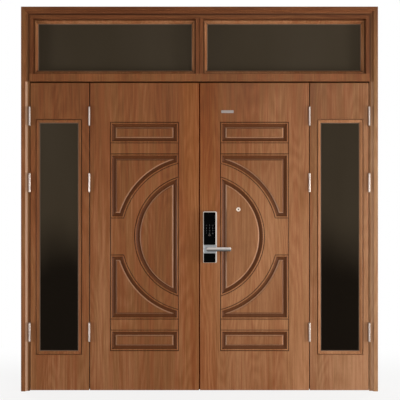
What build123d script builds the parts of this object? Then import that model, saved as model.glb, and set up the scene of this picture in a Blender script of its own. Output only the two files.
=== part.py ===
"""Four-leaf front door set with a glazed transom, in millimetres.

X runs to the right across the outside face, Y from outside to inside and Z up.
The setting-out point is on the wall face of the left jamb, at floor level, halfway through the frame.
Everything is worked out about the middle of the doorway and moved to that point when it is saved.
"""

import math
import os

from build123d import *

# Whole door set
overall_width = 2500.0
overall_height = 2695.0
frame_depth = 120.0

# Jambs and head: a flat outer band, then a cove down to an inner flat
frame_face = 57.0
band_width = 28.0
cove_width = 18.0
cove_drop = 12.0

# Transom: bar, slim surround and mullion round two fixed lights
doorway_height = 2173.0
bar_height = 53.0
surround_width = 26.0
surround_reveal = 3.0
surround_setback = 2.0
transom_depth = 96.0
mullion_width = 53.0
mullion_groove = 3.0

# Stops planted behind the leaves, and the seal stuck to them
stop_lap = 15.0
stop_depth = 25.0
seal_width = 9.0
seal_thickness = 4.0
seal_clearance = 5.0

# Leaves
leaf_thickness = 50.0
leaf_setback = 10.0
side_leaf_width = 412.0
hinge_gap = 6.0
meeting_gap = 8.0
head_gap = 10.0
floor_gap = 5.0
arris = 1.5

# Glazing
window_width = 326.0
window_height = 1657.0
window_bottom = 253.0
window_shift = 6.5
window_glass_depth = 13.0
glass_thickness = 8.0
glass_edge_gap = 3.0
bead_width = 26.0
bead_quirk = 6.0
bead_lip_share = 0.3
bead_setback = 1.0
light_bead_height = 20.0
mitre_gap = 0.2

# Moulded panels of the main leaves
panel_width = 483.0
panel_bottom = 280.0
short_panel_height = 150.0
panel_spacing = 72.0
tall_panel_height = 1165.0
round_inset = 15.0
half_round_radius = 440.0
ring_width = 86.0
corner_return = 127.0

# Section of the panel moulding, outline to field
quirk_width = 7.0
quirk_depth = 4.0
quirk_wall = 1.5
lip_width = 14.0
lip_step = 2.0
mould_depth = 10.0
mould_cove = 21.0
mould_flat = 3.0
field_bevel = 11.0
field_drop = 1.0

# Hinges
low_hinge_rise = 409.0
top_hinge_drop = 235.0
top_hinge_spacing = 466.0
hinge_length = 134.0
knuckle_count = 5
knuckle_radius = 7.0
knuckle_standoff = 1.0
knuckle_gap = 0.5
knuckle_round = 2.0
pin_radius = 4.0
pin_clearance = 0.08
plate_thickness = 2.5
plate_depth = 34.0

# Lock on the right main leaf
lock_offset = 73.5
lock_bottom = 902.0
lock_width = 96.0
lock_height = 358.0
lock_corner = 9.0
case_depth = 24.0
face_left_margin = 4.0
face_right_margin = 10.0
face_top_margin = 5.0
face_bottom_margin = 2.0
face_thickness = 4.0
face_corner = 5.0
face_clearance = 1.0
base_width = 90.0
base_height = 58.0
base_depth = 12.0
base_corner = 4.0
inner_case_depth = 34.0
edge_plate_width = 24.0
edge_plate_height = 240.0
edge_plate_thickness = 3.0
strike_slot_width = 14.0
strike_slot_height = 44.0
strike_slot_spacing = 80.0
strike_pocket = 16.0
bolt_plate_height = 200.0
bolt_plate_inset = 90.0

# Lever handles on one spindle
lever_rise = 96.0
lever_reach = 145.0
lever_back = 26.0
lever_width = 28.0
lever_thickness = 12.0
lever_standoff = 10.0
lever_round = 4.0
neck_radius = 11.0
neck_bearing = 9.0
neck_clearance = 0.08
spindle_radius = 5.0
spindle_clearance = 5.0

# Door viewer and name plate on the right main leaf
viewer_inset = 128.0
viewer_rise = 190.0
viewer_flange_radius = 15.0
viewer_flange_thickness = 4.0
viewer_tube_radius = 7.0
viewer_lens_radius = 5.0
viewer_lens_inset = 1.5
name_plate_offset = 196.0
name_plate_drop = 192.0
name_plate_width = 88.0
name_plate_height = 21.0
name_plate_thickness = 2.0

# Positions worked out from the sizes above
frame_front = -frame_depth / 2
wall_x = -overall_width / 2
rebate_x = wall_x + frame_face
head_underside = overall_height - frame_face
bar_top = doorway_height + bar_height
transom_front = frame_front + surround_setback
transom_back = transom_front + transom_depth
transom_glass_y = transom_front + transom_depth / 2
leaf_front = frame_front + leaf_setback
leaf_back = leaf_front + leaf_thickness
leaf_middle = leaf_front + leaf_thickness / 2
window_glass_y = leaf_front + window_glass_depth
outer_bead_height = window_glass_depth - glass_thickness / 2 - bead_setback
inner_bead_height = leaf_thickness - window_glass_depth - glass_thickness / 2 - bead_setback
leaf_top = doorway_height - head_gap
seal_front = leaf_back + seal_clearance
stop_front = seal_front + seal_thickness
stop_back = stop_front + stop_depth
jamb_hinge_x = rebate_x + hinge_gap / 2
side_leaf_x = (rebate_x + hinge_gap, rebate_x + hinge_gap + side_leaf_width)
leaf_hinge_x = side_leaf_x[1] + hinge_gap / 2
main_leaf_x = (side_leaf_x[1] + hinge_gap, -meeting_gap / 2)
hinge_y = leaf_front - knuckle_standoff - knuckle_radius
top_hinge = leaf_top - top_hinge_drop
hinge_heights = (floor_gap + low_hinge_rise, top_hinge - top_hinge_spacing, top_hinge)
lock_middle = lock_bottom + lock_height / 2
lever_height = lock_bottom + lever_rise
case_front = leaf_front - case_depth
base_front = case_front - base_depth
inner_case_back = leaf_back + inner_case_depth
field_edge = lip_width + mould_cove + mould_flat + field_bevel
reach = 3000.0
lift = 2.0


def block(x, y, z):
    """A box between a low and a high X, Y and Z."""
    size = (x[1] - x[0], y[1] - y[0], z[1] - z[0])
    return Pos(x[0], y[0], z[0]) * Box(*size, align=(Align.MIN, Align.MIN, Align.MIN))


def rod(x, z, radius, y):
    """A cylinder along Y at one X and Z, between a low and a high Y."""
    plane = Plane(origin=(x, y[0], z), x_dir=(1, 0, 0), z_dir=(0, 1, 0))
    return extrude(plane * Circle(radius), amount=y[1] - y[0])


def polygon(points):
    return make_face(Polyline(*points, close=True))


def section_plane(x, y, z, inward):
    """A plane across a run: its first axis points into the opening and its second along Y."""
    across = Vector(inward[0], 0, inward[1])
    return Plane(origin=(x, y, z), x_dir=across, z_dir=across.cross(Vector(0, 1, 0)))


def run(section, x, z, inward, length):
    """A section extruded along one side of an opening."""
    return extrude(section_plane(x, 0, z, inward) * section, amount=length)


def mitred_run(section, x, z, inward, length, width, ends, ease=0.0):
    """A run with 45 degree mitres at the ends that are set to 1, each drawn back by a small ease."""
    plane = section_plane(x, 0, z, inward)
    front_view = Plane(origin=plane.origin, x_dir=plane.x_dir, z_dir=-plane.y_dir)
    trapezoid = polygon(
        [
            (0, ease * ends[0]),
            (width, width * ends[0] + ease * ends[0]),
            (width, length - width * ends[1] - ease * ends[1]),
            (0, length - ease * ends[1]),
        ]
    )
    trim = extrude(front_view * trapezoid, amount=reach, both=True)
    return run(section, x, z, inward, length) & trim


def left_to_right(shape):
    return mirror(shape, about=Plane.YZ)


def front_to_back(shape, y):
    return mirror(shape, about=Plane(origin=(0, y, 0), x_dir=(1, 0, 0), z_dir=(0, 1, 0)))


def save(name, *shapes):
    """Write one piece, set out from the wall face of the left jamb."""
    solids = [solid for shape in shapes for solid in shape.solids()]
    piece = solids[0] if len(solids) == 1 else Compound(solids)
    piece = Pos(-wall_x, 0, 0) * piece
    piece.label = name
    export_step(piece, f"parts/{name}.step")


# Hinges


def knuckle_spans(height, moving):
    """Low and high Z of the knuckles of one half of a hinge."""
    pitch = (hinge_length + knuckle_gap) / knuckle_count
    low = height - hinge_length / 2
    picked = range(1, knuckle_count, 2) if moving else range(0, knuckle_count, 2)
    return [(low + i * pitch, low + (i + 1) * pitch - knuckle_gap) for i in picked]


def hinge_plate(x, height, side):
    """The plate let into an edge, on one side of a hinge line."""
    near = x + side * hinge_gap / 2
    far = near + side * plate_thickness
    span = (height - hinge_length / 2, height + hinge_length / 2)
    return block((min(near, far), max(near, far)), (leaf_front, leaf_front + plate_depth), span)


def hinge_half(x, height, moving):
    """A plate with its knuckles; the fixed half carries the pin."""
    side = 1 if moving else -1
    near = x + side * hinge_gap / 2
    far = near + side * plate_thickness
    half = hinge_plate(x, height, side)
    for low, high in knuckle_spans(height, moving):
        barrel = Pos(x, hinge_y, (low + high) / 2) * Cylinder(knuckle_radius, high - low)
        if not moving and low < height - hinge_length / 2 + knuckle_gap:
            barrel = chamfer(barrel.edges().sort_by(Axis.Z)[0], knuckle_round)
        if not moving and high > height + hinge_length / 2 - knuckle_gap:
            barrel = chamfer(barrel.edges().sort_by(Axis.Z)[-1], knuckle_round)
        tongue = block((min(near, far), max(near, far)), (hinge_y, leaf_front + plate_depth / 2), (low, high))
        half += barrel + tongue
    if moving:
        bore = Cylinder(pin_radius + pin_clearance, hinge_length * 2)
        return half - Pos(x, hinge_y, height) * bore
    return half + Pos(x, hinge_y, height) * Cylinder(pin_radius, hinge_length - 2 * knuckle_round)


def hinge_set(x, moving):
    return [hinge_half(x, height, moving) for height in hinge_heights]


def plate_pockets(x, side):
    return [hinge_plate(x, height, side) for height in hinge_heights]


# Outer frame

cove_start = (band_width, frame_front)
cove_end = (band_width + cove_width, frame_front + cove_drop)
cove_middle = (
    cove_end[0] - cove_width * math.cos(math.pi / 4),
    cove_start[1] + cove_drop * math.sin(math.pi / 4),
)
casing_line = Polyline(
    cove_end,
    (frame_face, cove_end[1]),
    (frame_face, -frame_front),
    (0, -frame_front),
    (0, frame_front),
    cove_start,
)
casing = make_face(list(casing_line.edges()) + [ThreePointArc(cove_start, cove_middle, cove_end)])

left_jamb = mitred_run(casing, wall_x, 0, (1, 0), overall_height, frame_face, (0, 1))
left_jamb -= plate_pockets(jamb_hinge_x, -1)
head = mitred_run(casing, wall_x, overall_height, (0, -1), overall_width, frame_face, (1, 1))

stop_y = (stop_front, stop_back)
side_stop_x = (rebate_x, rebate_x + hinge_gap + stop_lap)
top_stop_z = (doorway_height - head_gap - stop_lap, doorway_height)
left_stop = block(side_stop_x, stop_y, (0, doorway_height))
top_stop = block((side_stop_x[1], -side_stop_x[1]), stop_y, top_stop_z)

seal_y = (seal_front, stop_front)
seal_edge = (stop_lap - seal_width) / 2
left_seal_x = (side_stop_x[1] - seal_edge - seal_width, side_stop_x[1] - seal_edge)
top_seal_z = (top_stop_z[0] + seal_edge, top_stop_z[0] + seal_edge + seal_width)
left_seal = block(left_seal_x, seal_y, (floor_gap, top_seal_z[0] - mitre_gap))
top_seal = block((side_stop_x[1], -side_stop_x[1]), seal_y, top_seal_z)

# Transom

bar = block((rebate_x, -rebate_x), (transom_front, transom_back), (doorway_height, bar_top))
surround = polygon(
    [
        (0, transom_back),
        (0, cove_end[1]),
        (surround_reveal, cove_end[1]),
        (surround_reveal, transom_front),
        (surround_width, transom_front),
        (surround_width, transom_back),
    ]
)
surround_height = head_underside - bar_top
left_surround = mitred_run(surround, rebate_x, bar_top, (1, 0), surround_height, surround_width, (0, 1))
top_surround = mitred_run(
    surround, rebate_x, head_underside, (0, -1), -2 * rebate_x, surround_width, (1, 1)
)
light_x = (rebate_x + surround_width, -mullion_width / 2)
light_z = (bar_top, head_underside - surround_width)
mullion = block((light_x[1], -light_x[1]), (transom_front, transom_back), light_z)
groove = polygon([(-mullion_groove / 2, 0), (0, mullion_groove), (mullion_groove / 2, 0)])
mullion -= extrude(Pos(0, transom_front, 0) * groove, amount=reach)

# Glazing


def glass_pane(x, z, y):
    """A pane centred on one Y, held clear of the edges of its opening."""
    inset = glass_edge_gap
    half = glass_thickness / 2
    return block((x[0] + inset, x[1] - inset), (y - half, y + half), (z[0] + inset, z[1] - inset))


def bead_set(x, z, y, height):
    """Four mitred beads on the outer side of a pane: a quirk, a round and a slope to the glass."""
    back = y - glass_thickness / 2
    ridge = back - height
    shoulder = ridge + bead_quirk
    crest = bead_quirk + (bead_width - bead_quirk) / 2
    nose = ThreePointArc(
        (bead_quirk, ridge + 1),
        ((bead_quirk + crest) / 2, ridge),
        (crest, ridge + 2),
    )
    line = Polyline(
        (crest, ridge + 2),
        (bead_width, back - height * bead_lip_share),
        (bead_width, back),
        (0, back),
        (0, shoulder),
        (bead_quirk, shoulder),
        (bead_quirk, ridge + 1),
    )
    section = make_face(list(line.edges()) + [nose])
    across = x[1] - x[0]
    upright = z[1] - z[0]
    sides = [
        (x[0], z[0], (1, 0), upright),
        (x[0], z[1], (0, -1), across),
        (x[1], z[1], (-1, 0), upright),
        (x[1], z[0], (0, 1), across),
    ]
    return [mitred_run(section, *side, bead_width, (1, 1), mitre_gap) for side in sides]


window_middle = (side_leaf_x[0] + side_leaf_x[1]) / 2 - window_shift
window_x = (window_middle - window_width / 2, window_middle + window_width / 2)
window_z = (window_bottom, window_bottom + window_height)

light_glass = glass_pane(light_x, light_z, transom_glass_y)
light_outer_beads = bead_set(light_x, light_z, transom_glass_y, light_bead_height)
light_inner_beads = [front_to_back(bead, transom_glass_y) for bead in light_outer_beads]
window_glass = glass_pane(window_x, window_z, window_glass_y)
window_outer_beads = bead_set(window_x, window_z, window_glass_y, outer_bead_height)
window_inner_beads = bead_set(window_x, window_z, window_glass_y, inner_bead_height)
window_inner_beads = [front_to_back(bead, window_glass_y) for bead in window_inner_beads]

# Leaves


def leaf_slab(x):
    slab = block(x, (leaf_front, leaf_back), (floor_gap, leaf_top))
    return chamfer(slab.edges(), arris)


left_side_slab = leaf_slab(side_leaf_x)
left_side_slab -= block(window_x, (leaf_front - lift, leaf_back + lift), window_z)
left_side_slab -= plate_pockets(jamb_hinge_x, 1)
left_side_slab -= plate_pockets(leaf_hinge_x, -1)

# Panel moulding: each edge of a panel bounds a region under a section of distance and depth


def quirk_floor(far):
    return polygon(
        [(0, -lift), (0, 0), (quirk_wall, quirk_depth), (far, quirk_depth), (far, -lift)]
    )


def quirk_crest(far):
    below = quirk_depth + lift
    return polygon(
        [
            (quirk_wall, below),
            (quirk_wall, quirk_depth),
            (quirk_width, 0),
            (quirk_width, -2 * lift),
            (far, -2 * lift),
            (far, below),
        ]
    )


def cove_floor(far):
    top = (lip_width, lip_step)
    bottom = (lip_width + mould_cove, mould_depth)
    drop = mould_depth - lip_step
    radius = (mould_cove**2 + drop**2) / (2 * drop)
    half_angle = math.asin(mould_cove / radius) / 2
    middle = (
        bottom[0] - radius * math.sin(half_angle),
        bottom[1] - radius * (1 - math.cos(half_angle)),
    )
    line = Polyline(bottom, (far, mould_depth), (far, -lift), (lip_width, -lift), top)
    return make_face(list(line.edges()) + [ThreePointArc(top, middle, bottom)])


def field_crest(far):
    below = mould_depth + lift
    foot = field_edge - field_bevel
    return polygon(
        [
            (foot, below),
            (foot, mould_depth),
            (field_edge, field_drop),
            (far, field_drop),
            (far, below),
        ]
    )


def edge_region(edge, section):
    """The region one panel edge bounds: beside a line, inside a circle or outside one."""
    kind, (x, z), value = edge
    if kind == "line":
        plane = section_plane(x, leaf_front, z, value)
        return extrude(plane * section(reach), amount=reach, both=True)
    centre = Plane(origin=(x, leaf_front, z), x_dir=(1, 0, 0), z_dir=(0, 0, 1))
    if kind == "inside":
        face = Pos(value, 0, 0) * mirror(section(value), about=Plane.YZ)
    else:
        face = Pos(value, 0, 0) * section(reach)
    return revolve(centre * face, axis=Axis((x, leaf_front, z), (0, 1, 0)))


def panel_region(edges, section):
    region = edge_region(edges[0], section)
    for edge in edges[1:]:
        region = region & edge_region(edge, section)
    return region


def panel_cuts(edges):
    """The quirk round a panel and the moulding inside it."""
    return [
        panel_region(edges, quirk_floor) - panel_region(edges, quirk_crest),
        panel_region(edges, cove_floor) - panel_region(edges, field_crest),
    ]


panel_x = (
    (main_leaf_x[0] + main_leaf_x[1] - panel_width) / 2,
    (main_leaf_x[0] + main_leaf_x[1] + panel_width) / 2,
)
low_panel_z = (panel_bottom, panel_bottom + short_panel_height)
tall_panel_z = (low_panel_z[1] + panel_spacing, low_panel_z[1] + panel_spacing + tall_panel_height)
high_panel_z = (tall_panel_z[1] + panel_spacing, tall_panel_z[1] + panel_spacing + short_panel_height)
round_centre = (main_leaf_x[1] - round_inset, (tall_panel_z[0] + tall_panel_z[1]) / 2)


def panel_sides(z):
    """The four straight edges round a panel, each with its inward direction."""
    return [
        ("line", (panel_x[0], z[0]), (1, 0)),
        ("line", (panel_x[1], z[0]), (-1, 0)),
        ("line", (panel_x[0], z[0]), (0, 1)),
        ("line", (panel_x[0], z[1]), (0, -1)),
    ]


outside_ring = ("outside", round_centre, half_round_radius + ring_width)
half_round = [
    ("inside", round_centre, half_round_radius),
    ("line", (panel_x[1], round_centre[1]), (-1, 0)),
]
face_cuts = [
    *panel_cuts(panel_sides(low_panel_z)),
    *panel_cuts(panel_sides(high_panel_z)),
    *panel_cuts(panel_sides((round_centre[1] + corner_return, tall_panel_z[1])) + [outside_ring]),
    *panel_cuts(panel_sides((tall_panel_z[0], round_centre[1] - corner_return)) + [outside_ring]),
    *panel_cuts(half_round),
]

line_section = polygon([(0, -lift), (0, 0), (quirk_wall, quirk_depth), (quirk_width, 0), (quirk_width, -lift)])


def joining_line(x, z, inward):
    """A stretch of quirk that carries a panel's side on to the next panel."""
    low, high = z
    start = low if inward[0] > 0 else high
    plane = section_plane(x, leaf_front, start, inward)
    return extrude(plane * line_section, amount=high - low)


inner_run = math.sqrt(half_round_radius**2 - (round_centre[0] - panel_x[1]) ** 2)
outer_run = math.sqrt((half_round_radius + ring_width) ** 2 - (round_centre[0] - panel_x[1]) ** 2)
lap = quirk_width
lines = [
    (panel_x[0], (low_panel_z[1] - lap, tall_panel_z[0] + lap), (1, 0)),
    (panel_x[0], (tall_panel_z[1] - lap, high_panel_z[0] + lap), (1, 0)),
    (panel_x[0], (round_centre[1] - corner_return - lap, round_centre[1] + corner_return + lap), (1, 0)),
    (panel_x[1], (low_panel_z[1] - lap, tall_panel_z[0] + lap), (-1, 0)),
    (panel_x[1], (tall_panel_z[1] - lap, high_panel_z[0] + lap), (-1, 0)),
    (panel_x[1], (round_centre[1] + inner_run - lap, round_centre[1] + outer_run + lap), (-1, 0)),
    (panel_x[1], (round_centre[1] - outer_run - lap, round_centre[1] - inner_run + lap), (-1, 0)),
]
face_cuts += [joining_line(*line) for line in lines]

moulded_slab = leaf_slab(main_leaf_x)
moulded_slab -= face_cuts
moulded_slab -= [front_to_back(cut, leaf_middle) for cut in face_cuts]
moulded_slab -= plate_pockets(leaf_hinge_x, 1)

# Strike and bolt plates in the edge of the left main leaf

plate_y = (leaf_middle - edge_plate_width / 2, leaf_middle + edge_plate_width / 2)
left_plate_x = (main_leaf_x[1] - edge_plate_thickness, main_leaf_x[1])
right_plate_x = (-left_plate_x[1], -left_plate_x[0])
plate_z = (lock_middle - edge_plate_height / 2, lock_middle + edge_plate_height / 2)
strike_plate = block(left_plate_x, plate_y, plate_z)
slot_y = (leaf_middle - strike_slot_width / 2, leaf_middle + strike_slot_width / 2)
slot_x = (main_leaf_x[1] - strike_pocket, main_leaf_x[1] + lift)
slots = [
    block(slot_x, slot_y, (z - strike_slot_height / 2, z + strike_slot_height / 2))
    for z in (lock_middle - strike_slot_spacing / 2, lock_middle + strike_slot_spacing / 2)
]
bolt_plate_z = [
    (floor_gap + bolt_plate_inset, floor_gap + bolt_plate_inset + bolt_plate_height),
    (leaf_top - bolt_plate_inset - bolt_plate_height, leaf_top - bolt_plate_inset),
]
bolt_plates = [block(left_plate_x, plate_y, z) for z in bolt_plate_z]
left_main_slab = moulded_slab - [strike_plate, *slots, *bolt_plates]

# Lock, levers, viewer and name plate on the right main leaf


def rounded_plate(x, y, z, corner):
    """A plate facing Y with rounded upright edges."""
    return fillet(block(x, y, z).edges().filter_by(Axis.Y), corner)


lock_x = (lock_offset - lock_width / 2, lock_offset + lock_width / 2)
lock_z = (lock_bottom, lock_bottom + lock_height)
base_x = (lock_offset - base_width / 2, lock_offset + base_width / 2)
base_z = (lever_height - base_height / 2, lever_height + base_height / 2)
face_x = (lock_x[0] + face_left_margin, lock_x[1] - face_right_margin)
face_y = (case_front - face_thickness, case_front)
upper_face_z = (base_z[1] + face_clearance, lock_z[1] - face_top_margin)
lower_face_z = (lock_z[0] + face_bottom_margin, base_z[0] - face_clearance)
spindle_hole_radius = spindle_radius + spindle_clearance
spindle_hole = rod(lock_offset, lever_height, spindle_hole_radius, (-reach, reach))

lock_case = rounded_plate(lock_x, (case_front, leaf_front), lock_z, lock_corner) - spindle_hole
upper_face = rounded_plate(face_x, face_y, upper_face_z, face_corner)
lower_face = rounded_plate(face_x, face_y, lower_face_z, face_corner)

outer_neck_back = base_front + neck_bearing
inner_neck_front = inner_case_back - neck_bearing
bearing_radius = neck_radius + neck_clearance
handle_base = rounded_plate(base_x, (base_front, case_front), base_z, base_corner)
handle_base = chamfer(handle_base.faces().sort_by(Axis.Y)[0].edges(), base_corner / 2)
handle_base -= spindle_hole
handle_base -= rod(lock_offset, lever_height, bearing_radius, (base_front - lift, outer_neck_back))
inner_case = rounded_plate(lock_x, (leaf_back, inner_case_back), lock_z, lock_corner)
inner_case = fillet(inner_case.faces().sort_by(Axis.Y)[-1].edges(), lock_corner / 2)
inner_case -= spindle_hole
inner_case -= rod(lock_offset, lever_height, bearing_radius, (inner_neck_front, inner_case_back + lift))


def lever_arm(y):
    """The flat arm of a lever, rounded at the hub end."""
    x = (lock_offset - lever_back, lock_offset + lever_reach)
    z = (lever_height - lever_width / 2, lever_height + lever_width / 2)
    arm = block(x, y, z)
    arm = fillet(arm.edges().filter_by(Axis.Y).sort_by(Axis.X)[:2], lever_width / 2 - lever_round / 8)
    return fillet(arm.edges().filter_by(Axis.Y).sort_by(Axis.X)[-2:], lever_round * 2)


outer_arm_y = (base_front - lever_standoff - lever_thickness, base_front - lever_standoff)
inner_arm_y = (inner_case_back + lever_standoff, inner_case_back + lever_standoff + lever_thickness)
outer_arm = lever_arm(outer_arm_y)
outer_arm = fillet(outer_arm.faces().sort_by(Axis.Y)[0].edges(), lever_round)
inner_arm = lever_arm(inner_arm_y)
inner_arm = fillet(inner_arm.faces().sort_by(Axis.Y)[-1].edges(), lever_round)
outer_lever = outer_arm + rod(lock_offset, lever_height, neck_radius, (outer_arm_y[1], outer_neck_back))
spindle = rod(lock_offset, lever_height, spindle_radius, (outer_neck_back, inner_neck_front))
inner_lever = inner_arm + rod(lock_offset, lever_height, neck_radius, (inner_neck_front, inner_arm_y[0]))

viewer_offset = viewer_inset - panel_x[1]
viewer_height = round_centre[1] + viewer_rise
viewer_seat = (leaf_front + field_drop, leaf_back - field_drop)
viewer_front = viewer_seat[0] - viewer_flange_thickness
viewer_back = viewer_seat[1] + viewer_flange_thickness


def viewer_rod(radius, y):
    return rod(viewer_offset, viewer_height, radius, y)


viewer_outer = viewer_rod(viewer_flange_radius, (viewer_front, viewer_seat[0]))
viewer_outer = chamfer(viewer_outer.edges().sort_by(Axis.Y)[0], viewer_flange_thickness / 2)
viewer_outer += viewer_rod(viewer_tube_radius, (viewer_seat[0], viewer_seat[1]))
viewer_bore = viewer_rod(viewer_lens_radius, (-reach, reach))
viewer_outer -= viewer_bore
viewer_inner = viewer_rod(viewer_flange_radius, (viewer_seat[1], viewer_back))
viewer_inner = chamfer(viewer_inner.edges().sort_by(Axis.Y)[-1], viewer_flange_thickness / 2)
viewer_inner -= viewer_bore
viewer_lens = viewer_rod(viewer_lens_radius, (viewer_front + viewer_lens_inset, viewer_back - viewer_lens_inset))

name_plate_top = leaf_top - name_plate_drop
name_plate = block(
    (name_plate_offset - name_plate_width / 2, name_plate_offset + name_plate_width / 2),
    (leaf_front - name_plate_thickness, leaf_front),
    (name_plate_top - name_plate_height, name_plate_top),
)
name_plate = chamfer(name_plate.faces().sort_by(Axis.Y)[0].edges(), name_plate_thickness / 3)

lock_edge_plate = block(right_plate_x, plate_y, plate_z)
right_main_slab = left_to_right(moulded_slab)
right_main_slab -= [lock_edge_plate, spindle_hole, viewer_rod(viewer_tube_radius, (-reach, reach))]

# Saved pieces

os.makedirs("parts", exist_ok=True)

save("left_jamb", left_jamb)
save("right_jamb", left_to_right(left_jamb))
save("head", head)
save("left_stop", left_stop)
save("right_stop", left_to_right(left_stop))
save("top_stop", top_stop)
save("weather_seal", left_seal, left_to_right(left_seal), top_seal)
save("transom_bar", bar)
save("transom_left_strip", left_surround)
save("transom_right_strip", left_to_right(left_surround))
save("transom_top_strip", top_surround)
save("transom_mullion", mullion)
save("transom_left_glass", light_glass)
save("transom_right_glass", left_to_right(light_glass))
save("transom_outer_beads", *light_outer_beads, *[left_to_right(bead) for bead in light_outer_beads])
save("transom_inner_beads", *light_inner_beads, *[left_to_right(bead) for bead in light_inner_beads])

jamb_fixed = hinge_set(jamb_hinge_x, False)
jamb_moving = hinge_set(jamb_hinge_x, True)
leaf_fixed = hinge_set(leaf_hinge_x, False)
leaf_moving = hinge_set(leaf_hinge_x, True)
save("left_jamb_hinges", *jamb_fixed)
save("right_jamb_hinges", *[left_to_right(half) for half in jamb_fixed])

save("left_side_slab", left_side_slab)
save("left_side_glass", window_glass)
save("left_side_outer_beads", *window_outer_beads)
save("left_side_inner_beads", *window_inner_beads)
save("left_side_jamb_hinges", *jamb_moving)
save("left_side_leaf_hinges", *leaf_fixed)
save("right_side_slab", left_to_right(left_side_slab))
save("right_side_glass", left_to_right(window_glass))
save("right_side_outer_beads", *[left_to_right(bead) for bead in window_outer_beads])
save("right_side_inner_beads", *[left_to_right(bead) for bead in window_inner_beads])
save("right_side_jamb_hinges", *[left_to_right(half) for half in jamb_moving])
save("right_side_leaf_hinges", *[left_to_right(half) for half in leaf_fixed])

save("left_main_slab", left_main_slab)
save("left_main_hinges", *leaf_moving)
save("strike_plate", strike_plate - slots)
save("bolt_plates", *bolt_plates)
save("right_main_slab", right_main_slab)
save("right_main_hinges", *[left_to_right(half) for half in leaf_moving])
save("lock_case", lock_case)
save("lock_face", upper_face, lower_face)
save("handle_base", handle_base)
save("lock_inner_case", inner_case)
save("lock_edge_plate", lock_edge_plate)
save("viewer_outer", viewer_outer)
save("viewer_inner", viewer_inner)
save("viewer_lens", viewer_lens)
save("name_plate", name_plate)
save("outer_lever", outer_lever)
save("spindle", spindle)
save("inner_lever", inner_lever)
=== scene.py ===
import math

import bmesh
import bpy
from mathutils import Euler, Matrix, Vector


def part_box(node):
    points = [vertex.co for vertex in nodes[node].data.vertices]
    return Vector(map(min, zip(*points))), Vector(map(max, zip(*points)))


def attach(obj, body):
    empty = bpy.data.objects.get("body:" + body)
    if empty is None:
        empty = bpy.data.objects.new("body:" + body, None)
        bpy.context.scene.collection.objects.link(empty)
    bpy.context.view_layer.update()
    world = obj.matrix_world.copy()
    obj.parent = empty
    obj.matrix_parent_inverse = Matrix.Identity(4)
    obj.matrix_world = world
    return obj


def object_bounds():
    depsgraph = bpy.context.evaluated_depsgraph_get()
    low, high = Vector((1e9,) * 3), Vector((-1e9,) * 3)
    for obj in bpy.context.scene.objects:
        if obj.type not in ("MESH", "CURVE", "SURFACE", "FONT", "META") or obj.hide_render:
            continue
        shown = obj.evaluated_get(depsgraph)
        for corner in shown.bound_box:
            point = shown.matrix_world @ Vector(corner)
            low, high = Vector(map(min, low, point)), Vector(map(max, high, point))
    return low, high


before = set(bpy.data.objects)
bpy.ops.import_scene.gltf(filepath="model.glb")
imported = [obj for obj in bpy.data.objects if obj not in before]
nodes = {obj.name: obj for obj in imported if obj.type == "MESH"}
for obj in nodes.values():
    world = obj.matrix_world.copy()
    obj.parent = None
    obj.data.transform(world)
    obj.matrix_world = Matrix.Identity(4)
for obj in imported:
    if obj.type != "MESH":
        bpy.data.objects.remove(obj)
cad_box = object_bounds()
scene = bpy.context.scene

# Places from the frame; the hinge lines on the right mirror those on the left

left_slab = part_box("left_main_slab")
right_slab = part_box("right_main_slab")
left_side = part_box("left_side_slab")
left_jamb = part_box("left_jamb")
doorway_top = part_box("transom_bar")[0].z
head_top = cad_box[1].z
width = cad_box[0].x + cad_box[1].x
middle = width / 2
frame_front = left_jamb[0].y
leaf_front = left_slab[0].y
leaf_back = left_slab[1].y

ACROSS = Vector((1.0, 0.0, 0.0))
INWARD = Vector((0.0, 1.0, 0.0))
UP = Vector((0.0, 0.0, 1.0))
WHITE = (1.0, 1.0, 1.0)


# Node helpers

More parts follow.
